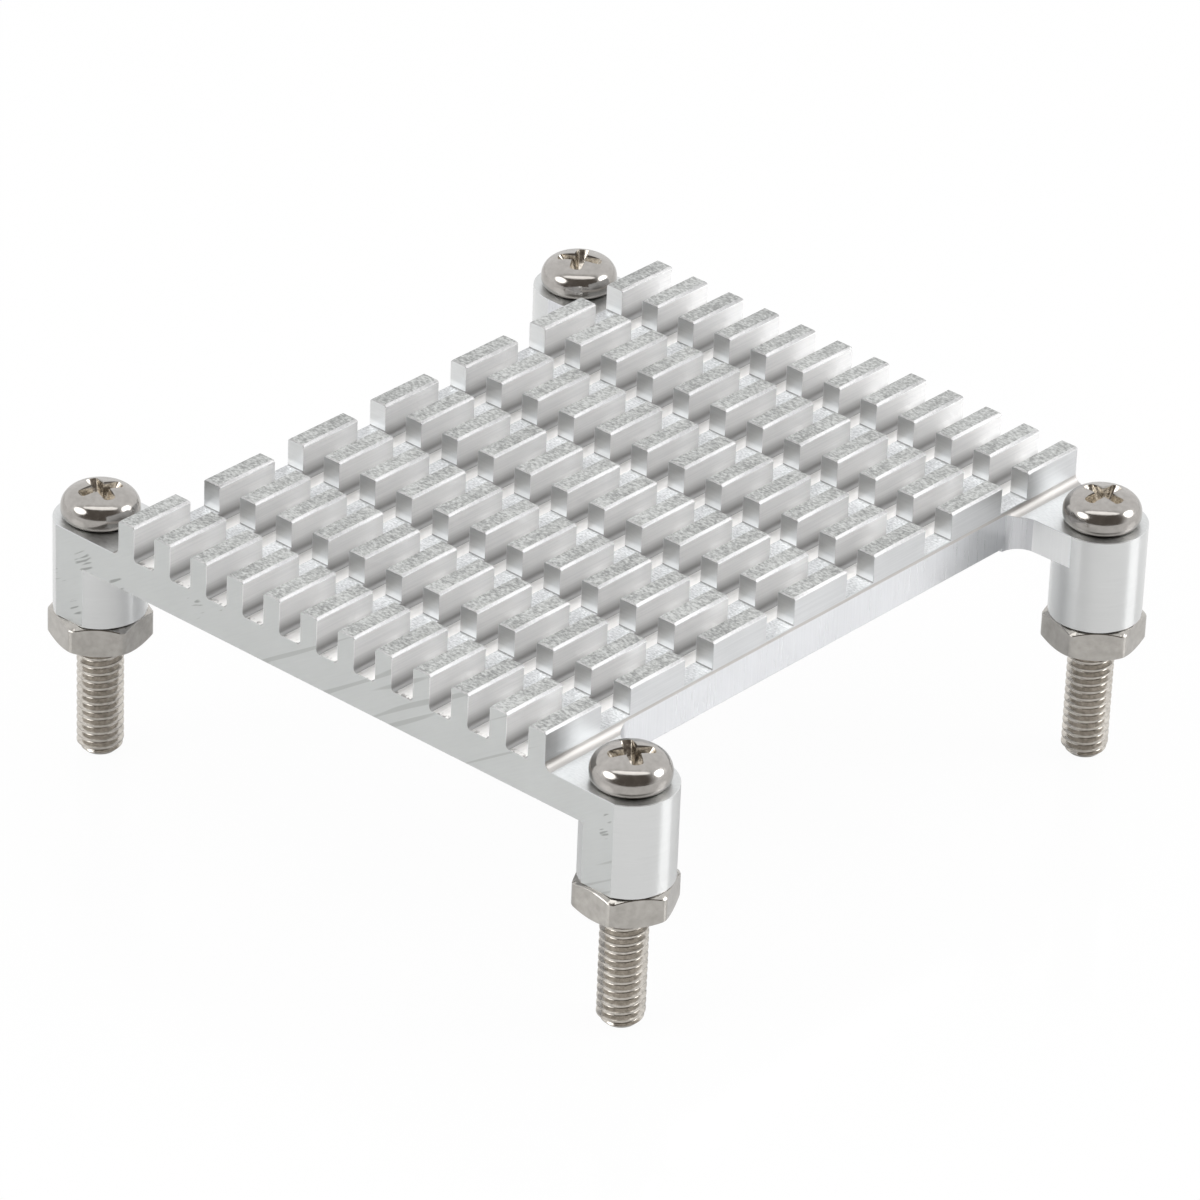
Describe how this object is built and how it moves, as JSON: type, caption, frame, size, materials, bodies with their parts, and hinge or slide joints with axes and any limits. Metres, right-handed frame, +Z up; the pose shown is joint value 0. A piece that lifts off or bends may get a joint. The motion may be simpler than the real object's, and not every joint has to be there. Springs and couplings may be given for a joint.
{
  "type": "heat sink",
  "caption": "Finned aluminium heat sink for a circuit module: a plate with a grid of short fins, and corner posts that carry pan-head screws, held by nuts, as long fixing studs.",
  "frame": {"origin": "under the middle of the part, level with the screw tips it stands on", "axes": "+X across the fin columns, +Y along the fins away from the viewer's left end face, +Z up from the screw tips to the fin tops"},
  "size_m": [0.0426, 0.0426, 0.0161],
  "materials": {
    "body": "extruded and milled, satin, uncoated",
    "screw": "bright nickel-plated steel with a warm tint",
    "nut": "bright nickel-plated steel with a warm tint"
  },
  "bodies": {
    "root": {"heat_sink_body": "body", "screw_front_left": "screw", "screw_front_right": "screw", "screw_back_left": "screw", "screw_back_right": "screw", "nut_front_left": "nut", "nut_front_right": "nut", "nut_back_left": "nut", "nut_back_right": "nut"}
  },
  "joints": []
}
